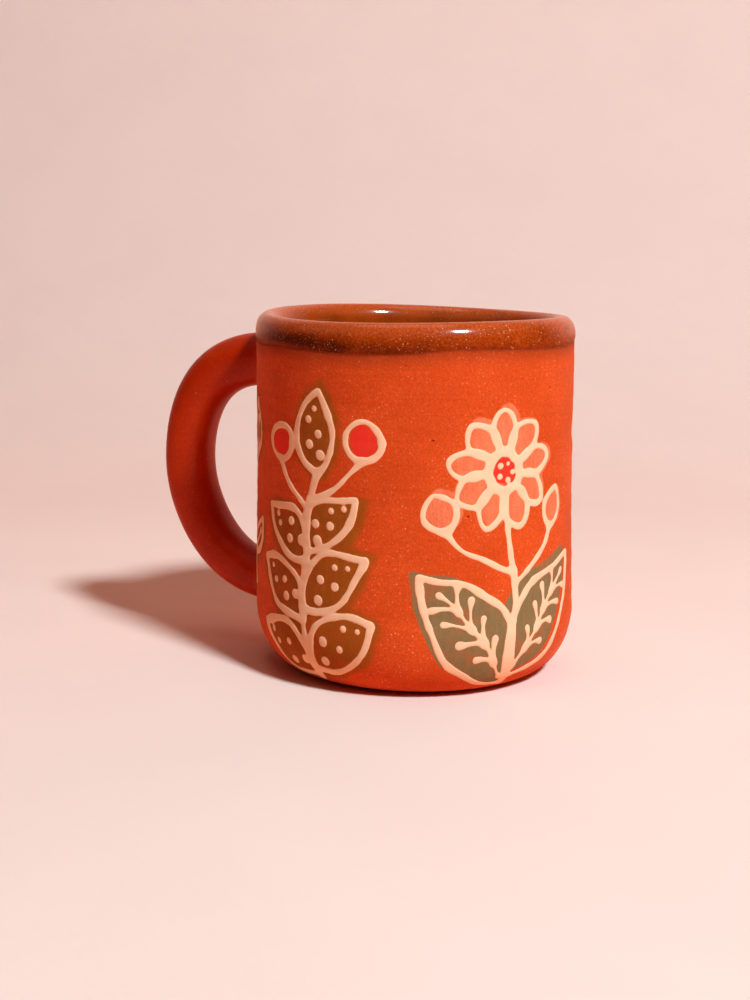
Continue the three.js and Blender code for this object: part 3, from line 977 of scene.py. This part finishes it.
# Pale paper: looks pale to the camera, and in gloss where it rises behind the mug. The light that it throws
# back on the mug is warmer, so that it does not wash out the shaded side. Far out, past the lamp's reach,
# it stays pale for the camera alone
paper = new_material("pale_backdrop_paper")
place = add_node(paper, "ShaderNodeTexCoord").outputs["Object"]
ray = add_node(paper, "ShaderNodeLightPath").outputs
pale_tone = mixed(paper, cloudy(paper, place, 60), linear("#EADFD9"), linear("#F0E6E1"))
lifted = add_node(paper, "ShaderNodeSeparateXYZ", inputs={"Vector": place}).outputs["Z"]
behind = ranged(paper, lifted, PAPER_LIFTS * MM, PAPER_STANDS * MM, 0.0, PAPER_IN_GLOSS, S_CURVE)
seen = reckoned(paper, "MULTIPLY_ADD", ray["Is Glossy Ray"], behind, ray["Is Camera Ray"])
paper_tone = mixed(paper, seen, linear("#F8AC90"), pale_tone)
reach = add_node(paper, "ShaderNodeVectorMath", {"operation": "LENGTH"}, {"Vector": place}).outputs["Value"]
far_out = ranged(paper, reach, LAMP_FADES * MM, LAMP_ENDS * MM, 0.0, 0.85, S_CURVE)
far_glow = reckoned(paper, "MULTIPLY", far_out, ray["Is Camera Ray"])
paper_surface = add_node(
    paper,
    "ShaderNodeBsdfPrincipled",
    inputs={
        "Base Color": paper_tone,
        "Roughness": 0.9,
        "Specular IOR Level": 0.1,
        "Emission Color": pale_tone,
        "Emission Strength": far_glow,
    },
)
add_node(paper, "ShaderNodeOutputMaterial", inputs={"Surface": paper_surface.outputs["BSDF"]})
sweep_mesh = bpy.data.meshes.new("paper_sweep")
sweep_mesh.from_pydata(
    (sweep_points.reshape(-1, 3) * MM).tolist(),
    [],
    grid_faces(len(sweep_line), len(sideways), False, False).tolist(),
)
sweep_mesh.shade_smooth()
sweep_mesh.materials.append(paper)
paper_sweep = bpy.data.objects.new("paper_sweep", sweep_mesh)
bpy.context.collection.objects.link(paper_sweep)


def aim(thing, place, target, roll=0.0):
    """Put a lamp or the camera at a place in millimetres, facing a target, turned about its own axis."""
    back = np.subtract(place, target)
    back = back / np.linalg.norm(back)
    right = np.cross((0.0, 0.0, 1.0), back)
    right /= np.linalg.norm(right)
    up = np.cross(back, right)
    turned_right = right * np.cos(roll) + up * np.sin(roll)
    turned_up = up * np.cos(roll) - right * np.sin(roll)
    matrix = np.eye(4)
    matrix[:3] = np.stack([turned_right, turned_up, back, np.multiply(place, MM)], -1)
    thing.matrix_world = Matrix(matrix.tolist())


# Each lamp's turn to the right of the front and lift in degrees, distance and size in mm, watts and tint
MIDDLE = (0.0, 0.0, 50.0)
LAMPS = {
    "soft_lamp_right": (58.0, 47.0, 1700.0, 260.0, 30.0, "#FFFFFF"),
    "large_lamp_above": (-90.0, 86.0, 1200.0, 800.0, 2.4, "#FFC4AC"),
}
for name, (turn, lift, distance, size, watts, tint) in LAMPS.items():
    lamp_data = bpy.data.lights.new(name, "AREA")
    lamp_data.shape = "DISK"
    lamp_data.size = size * MM
    lamp_data.energy = watts
    lamp_data.color = linear(tint)[:3]
    lamp = bpy.data.objects.new(name, lamp_data)
    bpy.context.collection.objects.link(lamp)
    turn, lift = np.radians((turn, lift))
    to_lamp = np.array((np.sin(turn) * np.cos(lift), -np.cos(turn) * np.cos(lift), np.sin(lift)))
    aim(lamp, MIDDLE + distance * to_lamp, MIDDLE)

# The room: a very dim warm light from all round, which looks pale to the camera, and overhead in gloss
CEILING_IN_GLOSS = 0.75
room = bpy.data.worlds.new("room")
bpy.context.scene.world = room
room.use_nodes = True
room.node_tree.nodes.clear()
ray = add_node(room, "ShaderNodeLightPath").outputs
room_tone = mixed(room, ray["Is Camera Ray"], linear("#F2B294"), linear("#EDE0DA"))
fill = add_node(room, "ShaderNodeBackground", inputs={"Color": linear("#FFB49C"), "Strength": 0.02})
pale_room = add_node(room, "ShaderNodeBackground", inputs={"Color": room_tone, "Strength": 1.0})
way = add_node(room, "ShaderNodeTexCoord").outputs["Object"]
upward = add_node(room, "ShaderNodeSeparateXYZ", inputs={"Vector": way}).outputs["Z"]
ceiling = ranged(room, upward, 0.2, 0.65, 0.0, CEILING_IN_GLOSS, S_CURVE)
paleness = reckoned(room, "MULTIPLY_ADD", ray["Is Glossy Ray"], ceiling, ray["Is Camera Ray"])
room_light = add_node(
    room,
    "ShaderNodeMixShader",
    inputs={"Fac": paleness, 1: fill.outputs["Background"], 2: pale_room.outputs["Background"]},
)
add_node(room, "ShaderNodeOutputWorld", inputs={"Surface": room_light.outputs["Shader"]})


# The camera stands where the photograph was taken from: to the front, a little above the rim.

CAMERA_PLACE = np.array((135.89, -375.68, 115.2))
CAMERA_TURN, CAMERA_LIFT, CAMERA_ROLL = np.radians((21.512, 10.063, 0.835))
FOCAL_PIXELS = 1486.4
PICTURE_HEIGHT = 1000
SENSOR_HEIGHT = 24.0

camera_data = bpy.data.cameras.new("camera")
camera_data.sensor_fit = "VERTICAL"
camera_data.sensor_height = SENSOR_HEIGHT
camera_data.lens = FOCAL_PIXELS / PICTURE_HEIGHT * SENSOR_HEIGHT
camera_data.clip_start = 0.01
camera = bpy.data.objects.new("camera", camera_data)
bpy.context.collection.objects.link(camera)
camera_back = np.array(
    (
        np.sin(CAMERA_TURN) * np.cos(CAMERA_LIFT),
        -np.cos(CAMERA_TURN) * np.cos(CAMERA_LIFT),
        np.sin(CAMERA_LIFT),
    )
)
aim(camera, CAMERA_PLACE, CAMERA_PLACE - camera_back, CAMERA_ROLL)
bpy.context.scene.camera = camera
bpy.context.scene.view_settings.view_transform = "Standard"
